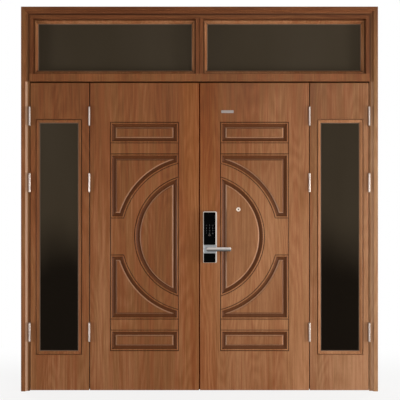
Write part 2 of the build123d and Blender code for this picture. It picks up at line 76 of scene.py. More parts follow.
class Tree:
    """A material's node tree with short calls for the nodes used here."""

    def __init__(self, name):
        self.material = bpy.data.materials.new(name)
        self.material.use_nodes = True
        self.tree = self.material.node_tree
        self.tree.nodes.clear()
        self.out = self.tree.nodes.new("ShaderNodeOutputMaterial")
        self.shader = self.tree.nodes.new("ShaderNodeBsdfPrincipled")
        self.link(self.shader.outputs[0], self.out.inputs["Surface"])
        coordinates = self.tree.nodes.new("ShaderNodeTexCoord")
        self.place = coordinates.outputs["Object"]
        self.normal = coordinates.outputs["Normal"]

    def link(self, source, target):
        self.tree.links.new(source, target)

    def put(self, value, socket):
        """Link a node's output to a socket, or set a plain value on it."""
        if hasattr(value, "is_output"):
            self.link(value, socket)
        else:
            socket.default_value = value

    def math(self, operation, a, b=0.0):
        node = self.tree.nodes.new("ShaderNodeMath")
        node.operation = operation
        self.put(a, node.inputs[0])
        self.put(b, node.inputs[1])
        return node.outputs[0]

    def product(self, first, *others):
        result = first
        for value in others:
            result = self.math("MULTIPLY", result, value)
        return result

    def total(self, *terms):
        """The sum of value and weight pairs."""
        result = None
        for value, weight in terms:
            part = self.math("MULTIPLY", value, weight)
            result = part if result is None else self.math("ADD", result, part)
        return result

    def stretch(self, scale, shift=(0, 0, 0)):
        node = self.tree.nodes.new("ShaderNodeMapping")
        self.link(self.place, node.inputs["Vector"])
        node.inputs["Scale"].default_value = scale
        node.inputs["Location"].default_value = shift
        return node.outputs[0]

    def noise(self, vector, detail, roughness):
        node = self.tree.nodes.new("ShaderNodeTexNoise")
        self.link(vector, node.inputs["Vector"])
        node.inputs["Scale"].default_value = 1.0
        node.inputs["Detail"].default_value = detail
        node.inputs["Roughness"].default_value = roughness
        return node.outputs["Fac"]

    def ramp(self, value, stops):
        node = self.tree.nodes.new("ShaderNodeValToRGB")
        self.link(value, node.inputs["Fac"])
        elements = node.color_ramp.elements
        while len(elements) < len(stops):
            elements.new(0.5)
        for element, (position, colour) in zip(elements, stops):
            element.position = position
            element.color = (*colour, 1.0)
        return node.outputs["Color"]

    def mix(self, factor, a, b, blend="MIX"):
        node = self.tree.nodes.new("ShaderNodeMix")
        node.data_type = "RGBA"
        node.blend_type = blend
        self.put(factor, node.inputs["Factor"])
        for value, socket in zip((a, b), [s for s in node.inputs if s.type == "RGBA"]):
            self.put(value if hasattr(value, "is_output") else (*value, 1.0), socket)
        return [s for s in node.outputs if s.type == "RGBA"][0]

    def remap(self, value, low, high, to_low=0.0, to_high=1.0, smooth=False):
        node = self.tree.nodes.new("ShaderNodeMapRange")
        node.interpolation_type = "SMOOTHSTEP" if smooth else "LINEAR"
        self.put(value, node.inputs["Value"])
        node.inputs["From Min"].default_value = low
        node.inputs["From Max"].default_value = high
        node.inputs["To Min"].default_value = to_low
        node.inputs["To Max"].default_value = to_high
        return node.outputs["Result"]

    def axes(self, vector=None):
        """The X, Y and Z of a vector, or of the place in the frame."""
        node = self.tree.nodes.new("ShaderNodeSeparateXYZ")
        self.link(vector or self.place, node.inputs[0])
        return node.outputs

    def crevice(self, distance):
        """0 on open faces, towards 1 in narrow grooves."""
        node = self.tree.nodes.new("ShaderNodeAmbientOcclusion")
        node.samples = 8
        node.only_local = True
        node.inputs["Distance"].default_value = distance
        return self.math("SUBTRACT", 1.0, node.outputs["AO"])

    def bump(self, height, strength, distance):
        node = self.tree.nodes.new("ShaderNodeBump")
        self.link(height, node.inputs["Height"])
        node.inputs["Strength"].default_value = strength
        node.inputs["Distance"].default_value = distance
        self.link(node.outputs[0], self.shader.inputs["Normal"])

    def set(self, **values):
        for name, value in values.items():
            self.put(value, self.shader.inputs[name.replace("_", " ")])


def scaled(colour, share):
    return [share * part for part in colour]


# Panels of a main leaf, measured out from the meeting line and up or down from their middle height

PANEL_WIDTH = 0.483
PANEL_BOTTOM = 0.280
SHORT_PANEL = 0.150
TALL_PANEL = 1.165
PANEL_SPACING = 0.072
PANEL_MARGIN = 0.002
ROUND_INSET = 0.015
ROUND_EDGE = 0.475
HALF_ROUND_CENTRE = (0.275, 0.0)
CORNER_PANEL_CENTRE = (0.570, 0.520)
BEVEL_TURN = 0.03

panel_out = (right_slab[0].x + right_slab[1].x) / 2 - middle
panel_edges = (panel_out - PANEL_WIDTH / 2 - PANEL_MARGIN, panel_out + PANEL_WIDTH / 2 + PANEL_MARGIN)
panel_middle = PANEL_BOTTOM + SHORT_PANEL + PANEL_SPACING + TALL_PANEL / 2
panel_reach = TALL_PANEL / 2 + PANEL_SPACING + SHORT_PANEL + PANEL_MARGIN
short_panel_from = (TALL_PANEL + PANEL_SPACING) / 2
short_panel_centre = (panel_out, (TALL_PANEL + SHORT_PANEL) / 2 + PANEL_SPACING)
round_out = right_slab[0].x - middle + ROUND_INSET


def panel_parts(t, side):
    """How much of a point is in the panels, and how much it faces out from its own panel's middle."""
    x, _, z = t.axes()
    across, _, upward = t.axes(t.normal)
    out = t.math("MULTIPLY", t.math("SUBTRACT", x, middle), side)
    height = t.math("SUBTRACT", z, panel_middle)
    up = t.math("ABSOLUTE", height)
    inside = t.product(
        t.math("GREATER_THAN", out, panel_edges[0]),
        t.math("LESS_THAN", out, panel_edges[1]),
        t.math("LESS_THAN", up, panel_reach),
    )
    reach = t.math("SUBTRACT", out, round_out)
    radius = t.math("SQRT", t.math("ADD", t.math("MULTIPLY", reach, reach), t.math("MULTIPLY", up, up)))
    short = t.math("GREATER_THAN", up, short_panel_from)
    corner = t.math("MULTIPLY", t.math("GREATER_THAN", radius, ROUND_EDGE), t.math("SUBTRACT", 1.0, short))
    normals = (t.math("MULTIPLY", across, side), t.math("MULTIPLY", upward, t.math("SIGN", height)))
    facing = []
    for axis, place in enumerate((out, up)):
        start = HALF_ROUND_CENTRE[axis]
        to_corner = CORNER_PANEL_CENTRE[axis] - start
        to_short = short_panel_centre[axis] - start
        centre = t.math("ADD", start, t.total((corner, to_corner), (short, to_short)))
        from_centre = t.math("SUBTRACT", place, centre)
        facing.append(t.math("MULTIPLY", normals[axis], from_centre))
    return inside, t.remap(t.math("ADD", *facing), 0.0, BEVEL_TURN, smooth=True)


# Wood

DARK = (0.108, 0.035, 0.013)
RED = (0.212, 0.073, 0.027)
GOLD = (0.205, 0.084, 0.031)
LIGHT = (0.355, 0.170, 0.082)
# Painted shade, for grooves and for the casing's flats beside and over the transom
PAINTED_SHADE = (0.022, 0.006, 0.002)
# Darker colour of the panels' coves
COVE_DARK = (0.072, 0.021, 0.006)
# Painted highlight, for the panels' bevels and the jambs' coves beside the door
PAINTED_HIGHLIGHT = (0.48, 0.29, 0.19)
WARM = (1.0, 0.84, 0.66)

# The grain's noises: scale across the grain and along it, detail and roughness
BROAD = (5.0, 0.5, 2.0, 0.5)
SWIRL = (6.0, 0.9, 1.0, 0.4)
STREAK = (130.0, 2.6, 3.0, 0.6)
HUE = (28.0, 1.1, 2.0, 0.5)
FIBRE = (520.0, 11.0, 4.0, 0.6)
PORE = (900.0, 26.0, 1.0, 0.5)

# Rings in the swirl, shares of the tone that the noises make, and what is added to it
RINGS = 85.0
TONE_SHARES = (0.46, 0.036, 0.48, 0.30)
BASE_TONE = -0.125

# Tones at which the three colours lie, the hue between the middle two, and the pores in the dark one
COLOUR_TONES = (0.18, 0.5, 0.82)
HUE_RANGE = (0.36, 0.64)
PORE_RANGE = (0.60, 0.72)
PORE_SHARE = 0.35

# A main leaf: distances from the meeting line, heights, depths below its face and shares
WARM_REACH = (0.07, 0.19)
WARM_RISE = (0.9, 1.7)
WARM_LEAST = 0.55
# The panels' coves are darker, and their bevels get a painted highlight, more where they are upright and
# face left
COVE_DEPTH = (0.0004, 0.0026)
COVE_SHARE = 0.88
BEVEL_DEPTH = (0.0040, 0.0048)
BEVEL_BARE = 0.9
BEVEL_HIGHLIGHT = 0.40
LEFT_FACING = (-0.15, -0.45)

# Strips of painted highlight and painted shade on the casing, measured in from the wall, how far back they
# reach, and their soft edge
CASING_COVE = (0.027, 0.046)
CASING_FLAT = (0.044, 0.059)
CASING_RELIEF = 0.016
BAND_EDGE = 0.004

# Painted shade in grooves: the range of occlusion over which it comes in, and its share
GROOVE_SHADE = (0.10, 0.32)
GROOVE_SHARE = 0.87


def grain_noises(t, along, shift):
    noises = []
    for across, length, detail, roughness in (BROAD, SWIRL, STREAK, HUE, FIBRE, PORE):
        scale = (across, across, length) if along == "z" else (length, across, across)
        noises.append(t.noise(t.stretch(scale, shift), detail, roughness))
    return noises


def tone_lean(t, start, change, fade=0.0):
    """Painted light and shade: tone that changes per metre in X and Z from a starting point, and fades above
    and below it.
    """
    x, _, z = t.axes()
    aside = t.math("SUBTRACT", x, start[0])
    rise = t.math("SUBTRACT", z, start[1])
    return t.total((aside, change[0]), (rise, change[1]), (t.math("ABSOLUTE", rise), -fade))


def leaf_colour(t, colour, side, left_highlight):
    """The colour of a main leaf on one side of the meeting line.

    It is warmer beside that line, more so higher up. The coves of its panels are darker, and their
    bevels get a painted highlight, stronger by the share given last where they are upright and face left.
    """
    x, y, z = t.axes()
    across, _, upward = t.axes(t.normal)
    beside = t.math("ABSOLUTE", t.math("SUBTRACT", x, middle))
    near = t.product(
        t.remap(beside, *WARM_REACH, 1.0, 0.0, smooth=True),
        t.remap(z, *WARM_RISE, WARM_LEAST, 1.0, smooth=True),
    )
    colour = t.mix(1.0, colour, t.mix(near, WHITE, WARM), "MULTIPLY")
    depth = t.math("MINIMUM", t.math("SUBTRACT", y, leaf_front), t.math("SUBTRACT", leaf_back, y))
    inside, bevel = panel_parts(t, side)
    off_bevel = t.math("SUBTRACT", 1.0, t.math("MULTIPLY", bevel, BEVEL_BARE))
    cove_darkening = t.product(t.remap(depth, *COVE_DEPTH, smooth=True), inside, off_bevel, COVE_SHARE)
    colour = t.mix(cove_darkening, colour, COVE_DARK)
    # Painted highlight on the panels' bevels, stronger where they are upright and face left
    upright = t.math("ADD", across, t.math("ABSOLUTE", upward))
    highlight_share = t.remap(upright, *LEFT_FACING, BEVEL_HIGHLIGHT, BEVEL_HIGHLIGHT + left_highlight, smooth=True)
    return t.mix(t.product(bevel, inside, t.remap(depth, *BEVEL_DEPTH), highlight_share), colour, PAINTED_HIGHLIGHT)


def band_colours(t, colour, bands):
    """Painted highlight and painted shade in strips near the casing's front, each a colour, its share, and
    the X and Z between which it lies.
    """
    for band_colour, share, across, upward in bands:
        x, y, z = t.axes()
        strip = t.math("MULTIPLY", t.math("LESS_THAN", y, frame_front + CASING_RELIEF), share)
        for place, (low, high) in ((x, across), (z, upward)):
            strip = t.product(
                strip,
                t.remap(place, low, low + BAND_EDGE, smooth=True),
                t.remap(place, high - BAND_EDGE, high, 1.0, 0.0, smooth=True),
            )
        colour = t.mix(strip, colour, band_colour)
    return colour


def wood(name, along, shift, tone, grooves=None, leaf=None, lean=None, tint=None, bands=()):
    """Brown wood with its grain along one axis.

    grooves is the width of groove that gets painted shade, and tint a share of each colour. leaf, lean and
    bands are what leaf_colour, tone_lean and band_colours take; the lean and the bands paint light and
    shade.
    """
    t = Tree(name)
    broad, swirl, streak, hue, fibre, pore = grain_noises(t, along, shift)
    figure = t.math("SINE", t.math("MULTIPLY", swirl, RINGS))
    pore = t.remap(pore, *PORE_RANGE, smooth=True)
    level = t.total(*zip((broad, figure, streak, fibre), TONE_SHARES))
    level = t.math("ADD", level, tone + BASE_TONE)
    if lean:
        level = t.math("ADD", level, tone_lean(t, *lean))
    reds = t.ramp(level, list(zip(COLOUR_TONES, (DARK, RED, LIGHT))))
    golds = t.ramp(level, list(zip(COLOUR_TONES, (DARK, GOLD, LIGHT))))
    colour = t.mix(t.remap(hue, *HUE_RANGE, smooth=True), reds, golds)
    colour = t.mix(t.math("MULTIPLY", pore, PORE_SHARE), colour, DARK)
    if tint:
        colour = t.mix(1.0, colour, tint, "MULTIPLY")
    if leaf:
        colour = leaf_colour(t, colour, *leaf)
    colour = band_colours(t, colour, bands)
    # Painted shade in narrow grooves, from their occlusion
    if grooves:
        occlusion_shade = t.remap(t.crevice(grooves), *GROOVE_SHADE, smooth=True)
        colour = t.mix(t.math("MULTIPLY", occlusion_shade, GROOVE_SHARE), colour, PAINTED_SHADE)
    t.bump(t.total((fibre, 0.6), (pore, -0.5)), 0.22, 0.0006)
    t.set(
        Base_Color=colour,
        Roughness=t.remap(streak, 0.3, 0.7, 0.32, 0.44),
        IOR=1.45,
        Specular_IOR_Level=0.08,
    )
    return t.material


# Glass, metal, rubber and gloss

# Browns of the glass, mixed in broad upright bands as a painted reflection, and the black of its painted
# dark reflection low down
GLASS_BROWN = ((0.037, 0.028, 0.0175), (0.044, 0.034, 0.0225))
PAINTED_DARK_REFLECTION = (0.0015, 0.0008, 0.0005)
GLASS_SHEEN = (1.0, 0.80, 0.60, 1.0)

# Share of the painted dark reflection, and how far below and above the change of colour it comes in
BLACK_SHARE = 0.92
BLACK_BELOW = 0.30
BLACK_ABOVE = 0.22

# Shares of a colour that are left on brushed and clouded metal, in the painted shade on the lever's lower
# part, and on ink where it wears
BRUSHED = 0.80
CLOUDED = 0.6
SHADED_SHARE = 0.12
WORN_INK = 0.6


def dark_glass(name, shift, level, change=None):
    """Brown glass, banded by a painted reflection; level is its depth of colour, change the height below
    which it has a painted dark reflection.
    """
    t = Tree(name)
    reflection_bands = t.noise(t.stretch((2.2, 2.2, 0.5), shift), 2.0, 0.5)
    colour = t.mix(t.remap(reflection_bands, 0.35, 0.65), *[scaled(brown, level) for brown in GLASS_BROWN])
    if change:
        wave = t.noise(t.stretch((3.0, 3.0, 1.2), shift), 2.0, 0.5)
        height = t.total((t.axes()[2], 1.0), (wave, 0.35))
        low = t.remap(height, change - BLACK_BELOW, change + BLACK_ABOVE, 1.0, 0.0, smooth=True)
        colour = t.mix(t.math("MULTIPLY", low, BLACK_SHARE), colour, PAINTED_DARK_REFLECTION)
    smear = t.noise(t.stretch((18.0, 18.0, 5.0), shift), 3.0, 0.6)
    t.set(
        Base_Color=colour,
        Roughness=t.remap(smear, 0.3, 0.75, 0.03, 0.07),
        IOR=1.45,
        Specular_IOR_Level=0.06,
        Specular_Tint=GLASS_SHEEN,
    )
    return t.material


def metal(name, colour, scale, roughness=(0.26, 0.42), shade_heights=None):
    """Satin metal brushed along the axis of the smallest scale; over the heights given last it turns from
    painted shade below to its own colour above.
    """
    t = Tree(name)
    brush = t.noise(t.stretch(scale), 4.0, 0.6)
    cloud = t.noise(t.stretch((9.0, 9.0, 9.0)), 2.0, 0.5)
    shade = t.mix(t.remap(brush, 0.25, 0.75), scaled(colour, BRUSHED), colour)
    shade = t.mix(t.math("MULTIPLY", cloud, 0.2), shade, scaled(colour, CLOUDED))
    if shade_heights:
        lit_share = t.remap(t.axes()[2], *shade_heights, smooth=True)
        shade = t.mix(lit_share, scaled(colour, SHADED_SHARE), shade)
    t.bump(brush, 0.10, 0.0004)
    t.set(Base_Color=shade, Metallic=1.0, Roughness=t.remap(brush, 0.2, 0.8, *roughness))
    return t.material


def gloss_black(name):
    t = Tree(name)
    marks = t.noise(t.stretch((60.0, 60.0, 45.0)), 4.0, 0.65)
    colour = t.mix(marks, (0.0003, 0.0003, 0.0004), (0.0010, 0.0010, 0.0012))
    t.set(
        Base_Color=colour,
        Roughness=t.remap(marks, 0.35, 0.7, 0.06, 0.13),
        IOR=1.45,
        Specular_IOR_Level=0.02,
    )
    return t.material


def rubber(name, dark, pale, gloss=0.2):
    t = Tree(name)
    grain = t.noise(t.stretch((300.0, 300.0, 300.0)), 3.0, 0.6)
    t.bump(grain, 0.15, 0.0004)
    t.set(
        Base_Color=t.mix(grain, dark, pale),
        Roughness=t.remap(grain, 0.3, 0.7, 0.65, 0.85),
        Specular_IOR_Level=gloss,
    )
    return t.material


def lens(name):
    t = Tree(name)
    ripple = t.noise(t.stretch((120.0, 120.0, 120.0)), 2.0, 0.5)
    colour = t.mix(ripple, (0.012, 0.014, 0.018), (0.03, 0.034, 0.04))
    t.set(Base_Color=colour, Roughness=t.remap(ripple, 0.3, 0.7, 0.02, 0.05), IOR=1.52)
    return t.material


def ink(name, colour):
    """Printed marks, with a little uneven wear."""
    t = Tree(name)
    wear = t.noise(t.stretch((400.0, 400.0, 400.0)), 3.0, 0.6)
    t.set(
        Base_Color=t.mix(t.remap(wear, 0.35, 0.75), colour, scaled(colour, WORN_INK)),
        Roughness=t.remap(wear, 0.3, 0.7, 0.45, 0.6),
        Specular_IOR_Level=0.1,
    )
    return t.material


# Materials of the CAD nodes

def dress(material, *names):
    for name in names:
        data = nodes[name].data
        data.materials.clear()
        data.materials.append(material)


def from_right(span):
    """A span measured in from the right wall."""
    return width - span[1], width - span[0]


# Widths of groove that get painted shade: at the panels, at mitres and joints, and at the head
QUIRK = 0.013
MITRE = 0.016
HEAD_GROOVE = 0.024

# Shares of the casing strips: painted highlight on the jambs' coves beside the door, painted shade on the
# flats
LEFT_COVE_HIGHLIGHT = 0.85
RIGHT_COVE_HIGHLIGHT = 0.30
FLAT_SHADE_SHARE = 0.45

# Height below which the side panes carry a painted dark reflection, and how far inside the lever's height
# its painted shade gives way to its own colour
DARK_REFLECTION_HEIGHT = 1.25
LEVER_MARGIN = 0.004

# Each leaf's lean is painted light and shade, its tone lighter or darker across it and up it
left_main_wood = wood("wood_left_main", "z", (0.3, 0.1, 0.2), 0.0, QUIRK, leaf=(-1, 0.0),
                      lean=((0.86, 1.1), (0.03, -0.05)))
right_main_wood = wood("wood_right_main", "z", (3.7, 0.4, 1.2), 0.165, QUIRK, leaf=(1, 0.60),
                       lean=((1.64, 1.1), (0.17, -0.09), 0.11))
left_side_wood = wood("wood_left_side", "z", (7.1, 0.2, 2.1), -0.04,
                      lean=((0.27, 1.1), (0.0, -0.10)))
right_side_wood = wood("wood_right_side", "z", (11.3, 0.9, 0.4), 0.08,
                       lean=((2.23, 1.1), (0.30, -0.10)), tint=(0.96, 1.02, 1.10))
dress(left_main_wood, "left_main_slab")
dress(right_main_wood, "right_main_slab")
dress(left_side_wood, "left_side_slab")
dress(right_side_wood, "right_side_slab")

beside_door = (-BAND_EDGE, doorway_top)
beside_transom = (doorway_top, head_top - CASING_FLAT[0])
over_transom = (head_top - CASING_FLAT[1], head_top - CASING_FLAT[0])
# The jambs' coves beside the door get a painted highlight, the casing's flats beside and over the transom
# painted shade
left_bands = [
    (PAINTED_HIGHLIGHT, LEFT_COVE_HIGHLIGHT, CASING_COVE, beside_door),
    (PAINTED_SHADE, FLAT_SHADE_SHARE, CASING_FLAT, beside_transom),
]
right_bands = [
    (PAINTED_HIGHLIGHT, RIGHT_COVE_HIGHLIGHT, from_right(CASING_COVE), beside_door),
    (PAINTED_SHADE, FLAT_SHADE_SHARE, from_right(CASING_FLAT), beside_transom),
]
head_bands = [(PAINTED_SHADE, FLAT_SHADE_SHARE, (CASING_FLAT[0], width - CASING_FLAT[0]), over_transom)]
left_jamb_wood = wood("wood_left_jamb", "z", (13.9, 0.5, 0.7), -0.01, tint=(0.93, 0.98, 0.98),
                      bands=left_bands)
# The right jamb's lean is painted light and shade along its height
right_jamb_wood = wood("wood_right_jamb", "z", (17.2, 0.8, 1.9), 0.05,
                       lean=((2.47, 1.9), (0.0, -0.243), 0.143), tint=(1.0, 1.18, 1.30), bands=right_bands)
dress(left_jamb_wood, "left_jamb")
dress(right_jamb_wood, "right_jamb")
# These top pieces get a darker tone, painted shade at the top of the frame
for name, shift, bands in (
    ("head", 19.1, head_bands),
    ("transom_top_strip", 29.2, ()),
    ("top_stop", 31.7, ()),
):
    dress(wood("wood_" + name, "x", (0.6, shift, 0.3), -0.25, HEAD_GROOVE, bands=bands), name)
dress(wood("wood_transom_bar", "z", (23.4, 0.3, 0.3), -0.08, MITRE), "transom_bar")
for name, shift, tone in (
    ("transom_left_strip", 37.1, -0.34),
    ("transom_right_strip", 41.8, -0.24),
    ("transom_mullion", 43.3, -0.24),
    ("left_stop", 47.9, -0.24),
    ("right_stop", 51.4, -0.24),
):
    dress(wood("wood_" + name, "z", (shift, 0.2, 0.5), tone, MITRE), name)
for place, tone in (("transom", 0.08), ("left_side", -0.02), ("right_side", 0.18)):
    bead_wood = wood("wood_" + place + "_beads", "z", (57.2, 0.7, 0.1), tone, MITRE)
    dress(bead_wood, place + "_outer_beads", place + "_inner_beads")

for name, shift, level, change in (
    ("transom_left_glass", 1.3, 0.98, None),
    ("transom_right_glass", 4.1, 0.94, None),
    ("left_side_glass", 6.7, 0.95, DARK_REFLECTION_HEIGHT),
    ("right_side_glass", 9.4, 0.72, DARK_REFLECTION_HEIGHT),
):
    dress(dark_glass("dark_" + name, (shift, 0.0, 0.2), level, change), name)

lever_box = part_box("outer_lever")
# The lever is painted shade below and its own colour above, changing within these heights
lever_shade_heights = (lever_box[0].z + LEVER_MARGIN, lever_box[1].z - LEVER_MARGIN)
hinge_metal = metal("hinge_metal", (0.44, 0.37, 0.33), (300.0, 300.0, 40.0))
fitting_metal = metal("fitting_metal", (0.56, 0.52, 0.48), (400.0, 400.0, 12.0))
plate_metal = metal("plate_metal", (0.24, 0.20, 0.18), (14.0, 400.0, 400.0), roughness=(0.42, 0.56))
viewer_metal = metal("viewer_metal", (0.72, 0.60, 0.50), (120.0, 120.0, 120.0))
case_metal = metal("case_metal", (0.58, 0.53, 0.48), (350.0, 350.0, 15.0))
lever_metal = metal("lever_metal", (0.56, 0.52, 0.49), (14.0, 380.0, 380.0), shade_heights=lever_shade_heights)
base_metal = metal("base_metal", (0.31, 0.32, 0.33), (380.0, 380.0, 16.0))
screw_metal = metal("screw_metal", (0.46, 0.44, 0.41), (200.0, 200.0, 200.0))
black_gloss = gloss_black("lock_gloss_black")
seal_rubber = rubber("seal_black", (0.010, 0.010, 0.010), (0.022, 0.021, 0.020))
# Near-black brown of the seals, partly painted shade in the gaps
gap_shade_seal = rubber("seal_and_gap_shade", (0.040, 0.003, 0.0004), (0.055, 0.005, 0.0008), gloss=0.01)
sealant = rubber("sealant_brown", (0.085, 0.050, 0.032), (0.120, 0.075, 0.048))
key_ink = ink("key_ink", (0.17, 0.17, 0.18))
print_ink = ink("print_ink", (0.16, 0.13, 0.12))

dress(hinge_metal, *[name for name in nodes if name.endswith("_hinges")])
dress(fitting_metal, "strike_plate", "bolt_plates", "lock_edge_plate")
dress(plate_metal, "name_plate")
dress(viewer_metal, "viewer_outer", "viewer_inner")
dress(case_metal, "lock_case", "lock_inner_case")
dress(lever_metal, "outer_lever", "inner_lever", "spindle")
dress(base_metal, "handle_base")
dress(black_gloss, "lock_face")
dress(seal_rubber, "weather_seal")
dress(lens("viewer_glass"), "viewer_lens")


# Small pieces on the CAD bodies

def piece(name, mesh, body, material):
    """Put a mesh in the scene, on its body and in its slot."""
    mesh.normal_update()
    data = bpy.data.meshes.new(name)
    mesh.to_mesh(data)
    mesh.free()
    data.materials.append(material)
    made = bpy.data.objects.new(name, data)
    scene.collection.objects.link(made)
    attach(made, body)


def solid(name, mesh, body, material):
    """A piece whose faces are first turned outward."""
    bmesh.ops.recalc_face_normals(mesh, faces=mesh.faces)
    piece(name, mesh, body, material)


def bridge(mesh, rings):
    """Join each closed ring of points to the next with four-sided faces."""
    for a, b in zip(rings, rings[1:]):
        for i in range(len(a)):
            j = (i + 1) % len(a)
            mesh.faces.new((a[i], a[j], b[j], b[i]))


# Soft seals at the meeting edges and the hinge gaps, near-black and nearly closing them: partly real seals,
# partly painted shade in the gaps

# Each point's share of the fin's reach, and of its depth to either side
FIN_SHAPE = ((0.0, 0.5), (0.30, 0.42), (0.55, 0.34), (0.85, 0.26))
FIN_NOSE = 0.14
FIN_END = 0.004
TIP_SLANT = 0.0005
TIP_GAP = 0.00015
MEETING_SEAL_INSET = 0.008
MEETING_SEAL_DEPTH = 0.007
HINGE_SEAL_INSET = 0.010
HINGE_SEAL_DEPTH = 0.008
HINGE_SEAL_GAP = 0.0006


def fin(root, tip, y, depth, slant=0.0):
    """A soft fin from root to tip across a gap, tapering to a slanted nose, nearly as high as the leaf."""
    reach = tip - root
    outline = [(root + reach * share, y - depth * half) for share, half in FIN_SHAPE]
    outline += [(tip + slant / 2, y - depth * FIN_NOSE), (tip - slant / 2, y + depth * FIN_NOSE)]
    outline += [(root + reach * share, y + depth * half) for share, half in reversed(FIN_SHAPE)]
    mesh = bmesh.new()
    ends = (left_slab[0].z + FIN_END, left_slab[1].z - FIN_END)
    rings = [[mesh.verts.new((px, py, z)) for px, py in outline] for z in ends]
    bridge(mesh, rings)
    mesh.faces.new(rings[0][::-1])
    mesh.faces.new(rings[1])
    return mesh


meeting_y = leaf_front + MEETING_SEAL_INSET
for side, root, tip in (
    ("left", left_slab[1].x, middle - TIP_GAP),
    ("right", right_slab[0].x, middle + TIP_GAP),
):
    seal = fin(root, tip, meeting_y, MEETING_SEAL_DEPTH, TIP_SLANT)
    solid(side + "_meeting_seal", seal, side + "_main_leaf", gap_shade_seal)

hinge_seal_y = leaf_back - HINGE_SEAL_INSET
hinge_seal_root = left_slab[0].x
hinge_seal_tip = left_side[1].x + HINGE_SEAL_GAP
for side, root, tip in (
    ("left", hinge_seal_root, hinge_seal_tip),
    ("right", width - hinge_seal_root, width - hinge_seal_tip),
):
    seal = fin(root, tip, hinge_seal_y, HINGE_SEAL_DEPTH)
    solid(side + "_hinge_seal", seal, side + "_main_leaf", gap_shade_seal)


# Sealant on both faces of the panes

BEAD_WIDTH = 0.026
GLASS_EDGE_GAP = 0.003
SEALANT_WIDTH = 0.005
SEALANT_RISE = 0.0022
SEALANT_ROUND = 0.55


def pane_strip(x, z, base, rise):
    """A mitred strip of sealant inside the X and Z of the beads, sloping from the bead down to the glass."""
    mesh = bmesh.new()
    section = (
        (0.0, base),
        (0.0, base + rise),
        (SEALANT_WIDTH * SEALANT_ROUND, base + rise * SEALANT_ROUND),
        (SEALANT_WIDTH, base),
    )
    rings = []
    for inset, y in section:
        left, right = x[0] + inset, x[1] - inset
        low, high = z[0] + inset, z[1] - inset
        corners = ((left, low), (right, low), (right, high), (left, high))
        rings.append([mesh.verts.new((px, y, pz)) for px, pz in corners])
    bridge(mesh, rings + rings[:1])
    return mesh


bead_reach = BEAD_WIDTH - GLASS_EDGE_GAP
for pane, body in (
    ("left_side", "left_side_leaf"),
    ("right_side", "right_side_leaf"),
    ("transom_left", "frame"),
    ("transom_right", "frame"),
):
    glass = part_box(pane + "_glass")
    x = (glass[0].x + bead_reach, glass[1].x - bead_reach)
    z = (glass[0].z + bead_reach, glass[1].z - bead_reach)
    for face, y, rise in (("outer", glass[0].y, -SEALANT_RISE), ("inner", glass[1].y, SEALANT_RISE)):
        solid(pane + "_" + face + "_sealant", pane_strip(x, z, y, rise), body, sealant)


# Screws in the hinge plates

SCREW_RADIUS = 0.0038
SCREW_RISE = 0.0004
SCREW_SIDES = 24
SCREW_RIM = 0.92
CROSS_ARM = 0.62
CROSS_WAIST = 0.24
CROSS_TAPER = 0.9
CROSS_FLOOR = 0.1
HINGE_LENGTH = 0.134
HINGE_SPACING = 0.466

# Rise from the hinge's middle, and depth behind the leaf's front, of each screw in a plate
HINGE_SCREWS = ((-0.052, 0.014), (-0.018, 0.026), (0.018, 0.014), (0.052, 0.026))


def screw(mesh, place, out, up):
    """A countersunk screw head with a cross recess; out is the way it faces."""
    side = up.cross(out)
    step = 2 * math.pi / SCREW_SIDES

    def at(angle, r, h):
        return mesh.verts.new(place + side * (r * math.cos(angle)) + up * (r * math.sin(angle)) + out * h)

    foot = [at(i * step, SCREW_RADIUS, 0.0) for i in range(SCREW_SIDES)]
    rim = [at(i * step, SCREW_RADIUS * SCREW_RIM, SCREW_RISE) for i in range(SCREW_SIDES)]
    points = SCREW_SIDES // 2
    cross_top, cross_floor = [], []
    for i in range(points):
        angle = (2 * i + 1) * step
        r = SCREW_RADIUS * (CROSS_WAIST if i % 3 == 1 else CROSS_ARM)
        cross_top.append(at(angle, r, SCREW_RISE))
        cross_floor.append(at(angle, r * CROSS_TAPER, SCREW_RISE * CROSS_FLOOR))
    bridge(mesh, (foot, rim))
    bridge(mesh, (cross_top, cross_floor))
    for i in range(points):
        a, b, c = [(2 * i + k) % SCREW_SIDES for k in (1, 2, 3)]
        mesh.faces.new((rim[a], rim[b], rim[c], cross_top[(i + 1) % points], cross_top[i]))
    mesh.faces.new(cross_floor)


hinge_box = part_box("left_jamb_hinges")
top_hinge = hinge_box[1].z - HINGE_LENGTH / 2
hinge_heights = (hinge_box[0].z + HINGE_LENGTH / 2, top_hinge - HINGE_SPACING, top_hinge)
for name, body, left_x, left_way in (
    ("left_jamb_hinge_screws", "frame", left_jamb[1].x, 1),
    ("left_side_jamb_hinge_screws", "left_side_leaf", left_side[0].x, -1),
    ("left_side_leaf_hinge_screws", "left_side_leaf", left_side[1].x, 1),
    ("left_main_hinge_screws", "left_main_leaf", left_slab[0].x, -1),
):
    for side, x, way in (("left", left_x, left_way), ("right", width - left_x, -left_way)):
        mesh = bmesh.new()
        for z in hinge_heights:
            for rise, depth in HINGE_SCREWS:
                screw(mesh, Vector((x, leaf_front + depth, z + rise)), ACROSS * way, UP)
        solid(name.replace("left", side), mesh, body.replace("left", side), screw_metal)


# Bolts, screws, slots and slides on the plates in the meeting edges

EDGE_SCREW_RISE = 0.112
BOLT_SCREW_RISE = 0.088
BOLT_PLATE = 0.200
SLIDE_RISE = 0.020

# Rise from the edge plate's middle and height of each bolt end
BOLT_ENDS = ((-0.080, 0.040), (0.0, 0.030), (0.080, 0.040))

